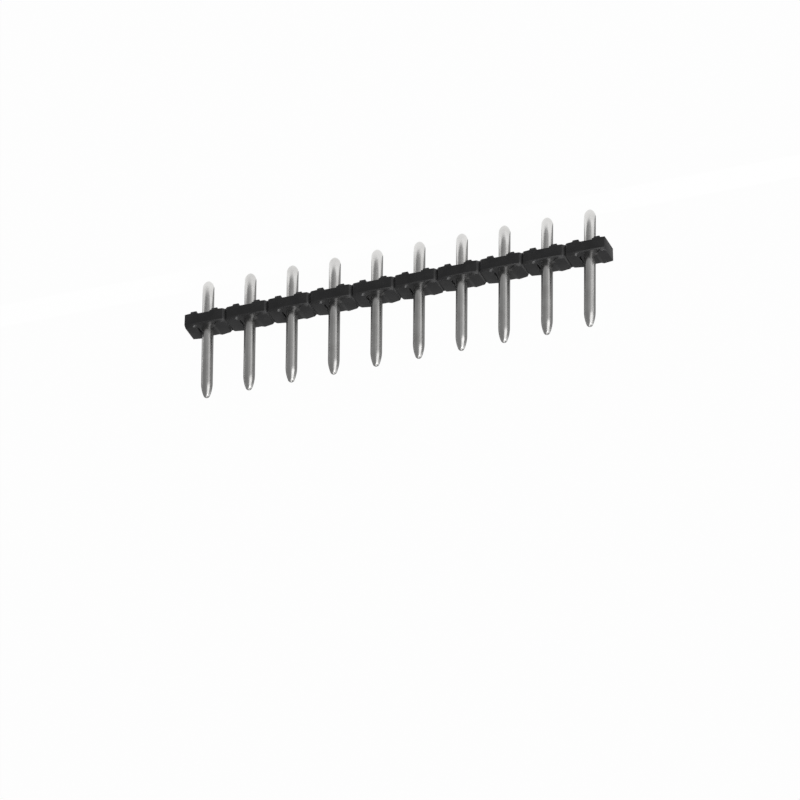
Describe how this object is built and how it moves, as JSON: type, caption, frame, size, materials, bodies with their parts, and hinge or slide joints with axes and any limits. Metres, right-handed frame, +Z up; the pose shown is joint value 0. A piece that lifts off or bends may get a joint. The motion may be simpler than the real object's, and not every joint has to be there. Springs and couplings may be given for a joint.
{
  "type": "pcb terminal block header",
  "caption": "Straight single-row board header: round tinned pins in a snap-apart black plastic strip, for a plug-on terminal block.",
  "frame": {"origin": "where the axis of pin 1 meets the plane of the feet's undersides, which is the board's surface", "axes": "+X along the row from pin 1 to pin 10; +Y across the strip; +Z up from the board towards the contact ends of the pins, with the solder tails pointing to -Z"},
  "size_m": [0.0494, 0.0032, 0.015],
  "materials": {
    "black_plastic": "black moulded thermoplastic with a satin surface",
    "tinned_pin": "bright tin plating on copper alloy wire"
  },
  "bodies": {
    "root": {"strip": "black_plastic", "pin_1": "tinned_pin", "pin_2": "tinned_pin", "pin_3": "tinned_pin", "pin_4": "tinned_pin", "pin_5": "tinned_pin", "pin_6": "tinned_pin", "pin_7": "tinned_pin", "pin_8": "tinned_pin", "pin_9": "tinned_pin", "pin_10": "tinned_pin"}
  },
  "joints": []
}
